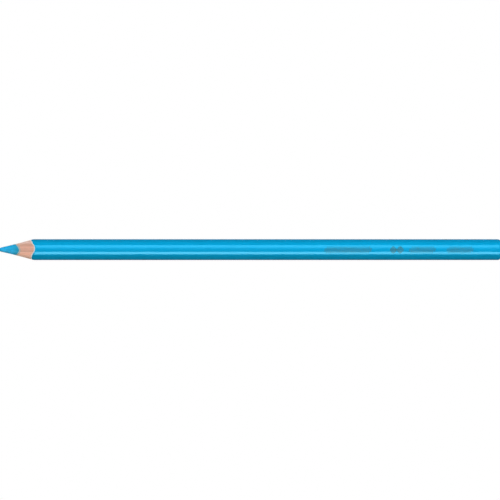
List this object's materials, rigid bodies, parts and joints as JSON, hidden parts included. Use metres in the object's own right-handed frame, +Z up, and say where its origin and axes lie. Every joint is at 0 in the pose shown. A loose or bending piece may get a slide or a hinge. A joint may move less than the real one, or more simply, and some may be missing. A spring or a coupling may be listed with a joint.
{
  "type": "coloured pencil",
  "caption": "Wood-cased coloured pencil with a softly rounded three-sided barrel, sharpened core, layered lacquer coats, stamped foil marks and a dipped, rounded butt.",
  "frame": {"origin": "on the flat that the pencil rests on, under the middle of its length", "axes": "+X from the point to the butt along the pencil's axis, +Z up to the ridge opposite the resting flat, Y across the barrel"},
  "size_m": [0.175, 0.0072, 0.0071],
  "materials": {
    "core": "waxy pigmented core, satin where it was ground to a point",
    "casing_wood": "bare fine-grained pinkish softwood, cut across the layers by the sharpener",
    "glue": "dried white wood glue, cream and slightly clear",
    "primer": "white filler undercoat, matte, seen only as a pale line at the cut edge",
    "lacquer": "sky-blue gloss lacquer with a clear top coat",
    "foil": "hot-stamped grey foil, thin and slightly see-through"
  },
  "bodies": {
    "root": {"core_rod": "core", "upper_slat": "casing_wood", "lower_slat": "casing_wood", "glue_film": "glue", "primer_coat": "primer", "colour_lacquer": "lacquer", "end_dip": "lacquer", "foil_band_front": "foil", "foil_emblem": "foil", "foil_band_middle": "foil", "foil_band_rear": "foil"}
  },
  "joints": []
}
